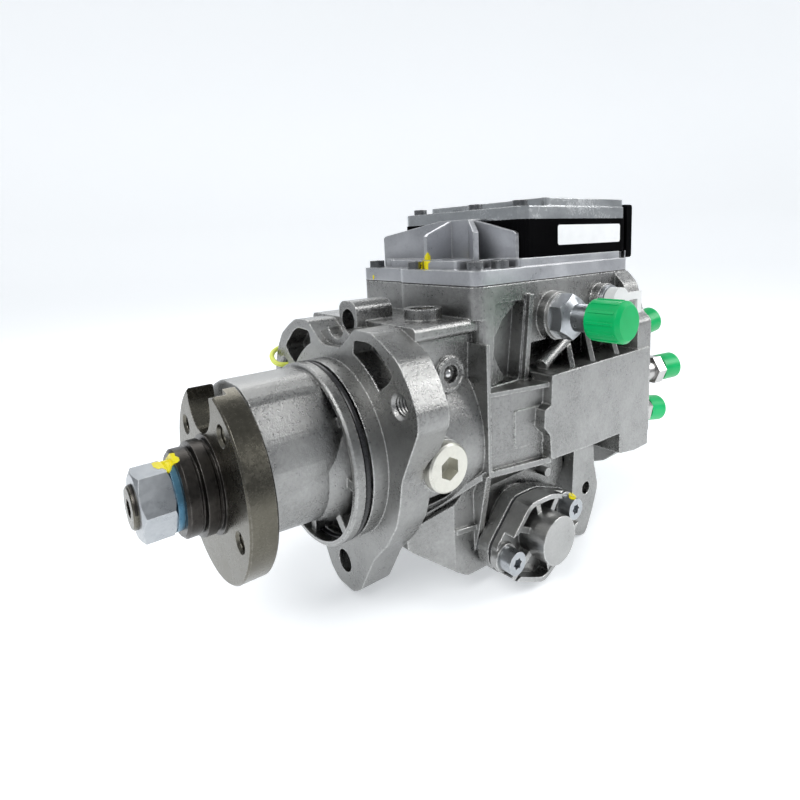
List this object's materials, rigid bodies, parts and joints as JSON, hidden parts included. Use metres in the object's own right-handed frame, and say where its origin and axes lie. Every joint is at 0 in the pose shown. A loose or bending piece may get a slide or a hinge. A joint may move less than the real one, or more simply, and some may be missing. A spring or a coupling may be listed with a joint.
{
  "type": "fuel injection pump",
  "caption": "Distributor injection pump for a diesel engine, with a drive hub, solenoid valve, timing device, ribbed cover, control unit on top and capped fuel connections.",
  "frame": {"origin": "on the drive shaft axis, in the face of the mounting flange", "axes": "+Y along the shaft axis from the drive end to the outlets, +X towards the side with the return valve and the timing cover, +Z towards the control unit"},
  "size_m": [0.187, 0.3849, 0.2238],
  "materials": {
    "cast_aluminium": "die cast, satin",
    "cover_aluminium": "die cast, fine matte",
    "machined_steel": "machined",
    "dark_steel": "turned, oiled",
    "black_steel": "blackened",
    "zinc_steel": "zinc plated",
    "bearing_steel": "ground",
    "washer_blue": "blue coating",
    "bronze": "plain",
    "seal_washer": "plain",
    "seal_rubber": "matte",
    "gasket": "matte",
    "spring_steel": "oil tempered",
    "ecu_plastic": "fine grain",
    "lid_metal": "satin",
    "board": "varnished",
    "green_cap": "satin",
    "white_cap": "satin",
    "plug_metal": "plain"
  },
  "bodies": {
    "housing": {"pump_housing": "cast_aluminium", "pilot_seal_ring": "seal_rubber", "shaft_seal": "seal_rubber", "bearing_outer_ring": "bearing_steel", "rear_bush": "bronze", "vane_ring": "machined_steel", "vane_plate": "machined_steel", "plunger_springs": "spring_steel", "distributor_head": "dark_steel", "head_seal_ring": "seal_rubber", "head_bolts": "dark_steel", "solenoid_valve": "machined_steel", "outlet_holders": "machined_steel", "outlet_caps": "green_cap", "timing_spring": "spring_steel", "timing_cover": "cover_aluminium", "timing_cover_gasket": "gasket", "timing_cover_bolts": "zinc_steel", "spring_cover": "cover_aluminium", "spring_cover_gasket": "gasket", "spring_cover_bolts": "zinc_steel", "housing_cover": "cover_aluminium", "cover_gasket": "gasket", "cover_bolts": "zinc_steel", "ecu_case": "ecu_plastic", "ecu_lid": "lid_metal", "control_board": "board", "ecu_screws": "dark_steel", "ecu_connector": "ecu_plastic", "return_valve": "zinc_steel", "return_seal_washer": "seal_washer", "inlet_fitting": "zinc_steel", "side_plug": "plug_metal", "ball_plug": "bearing_steel", "neck_plug": "dark_steel"},
    "drive_shaft": {"drive_shaft": "dark_steel", "bearing_inner_ring": "bearing_steel", "shaft_key": "machined_steel", "drive_hub": "dark_steel", "hub_collar": "black_steel", "lock_washer": "washer_blue", "shaft_nut": "zinc_steel", "vane_rotor": "machined_steel", "vanes": "machined_steel", "trigger_wheel": "machined_steel", "coupling_cross": "machined_steel"},
    "ball_cage": {"bearing_balls": "bearing_steel"},
    "cam": {"cam_plate": "machined_steel", "plunger": "bearing_steel"},
    "spring_bridge": {"spring_bridge": "machined_steel"},
    "timing_piston": {"timing_piston": "machined_steel"},
    "roller_ring": {"roller_ring": "machined_steel", "angle_sensor": "ecu_plastic"},
    "roller_1": {"cam_roller_1": "bearing_steel"},
    "roller_2": {"cam_roller_2": "bearing_steel"},
    "roller_3": {"cam_roller_3": "bearing_steel"},
    "valve_needle": {"valve_needle": "bearing_steel"},
    "return_cap": {"return_cap": "green_cap"},
    "inlet_cap": {"inlet_cap": "white_cap"}
  },
  "joints": [
    {"name": "shaft_turn", "type": "hinge", "parent": "housing", "child": "drive_shaft", "pos_m": [0, 0, 0], "axis": [0, 1, 0], "continuous": true},
    {"name": "cage_turn", "type": "hinge", "parent": "housing", "child": "ball_cage", "pos_m": [0, 0, 0], "axis": [0, 1, 0], "continuous": true},
    {"name": "cam_stroke", "type": "slide", "parent": "drive_shaft", "child": "cam", "axis": [0, -1, 0], "range_m": [0, 0.0024]},
    {"name": "bridge_stroke", "type": "slide", "parent": "housing", "child": "spring_bridge", "axis": [0, -1, 0], "range_m": [0, 0.0024], "deforming": ["plunger_springs"]},
    {"name": "timing_stroke", "type": "slide", "parent": "housing", "child": "timing_piston", "axis": [1, 0, 0], "range_m": [-0.006, 0], "deforming": ["timing_spring"]},
    {"name": "ring_turn", "type": "hinge", "parent": "housing", "child": "roller_ring", "pos_m": [0, 0.087, 0], "axis": [0, 1, 0], "range_deg": [0, 6.1]},
    {"name": "roller_spin_1", "type": "hinge", "parent": "roller_ring", "child": "roller_1", "pos_m": [0, 0.088, 0], "axis": [0, 0, 1], "continuous": true},
    {"name": "roller_spin_2", "type": "hinge", "parent": "roller_ring", "child": "roller_2", "pos_m": [0, 0.088, 0], "axis": [-0.866, 0, -0.5], "continuous": true},
    {"name": "roller_spin_3", "type": "hinge", "parent": "roller_ring", "child": "roller_3", "pos_m": [0, 0.088, 0], "axis": [0.866, 0, -0.5], "continuous": true},
    {"name": "needle_stroke", "type": "slide", "parent": "housing", "child": "valve_needle", "axis": [0, 1, 0], "range_m": [0, 0.0004]},
    {"name": "return_cap_pull", "type": "slide", "parent": "housing", "child": "return_cap", "axis": [1, 0, 0], "range_m": [0, 0.03]},
    {"name": "inlet_cap_pull", "type": "slide", "parent": "housing", "child": "inlet_cap", "axis": [1, 0, 0], "range_m": [0, 0.018]}
  ],
  "couplings": [
    {"joint": "cage_turn", "follows": "shaft_turn", "ratio": 0.399},
    {"joint": "bridge_stroke", "follows": "cam_stroke", "ratio": 1},
    {"joint": "ring_turn", "follows": "timing_stroke", "rad_per_m": -17.544}
  ]
}
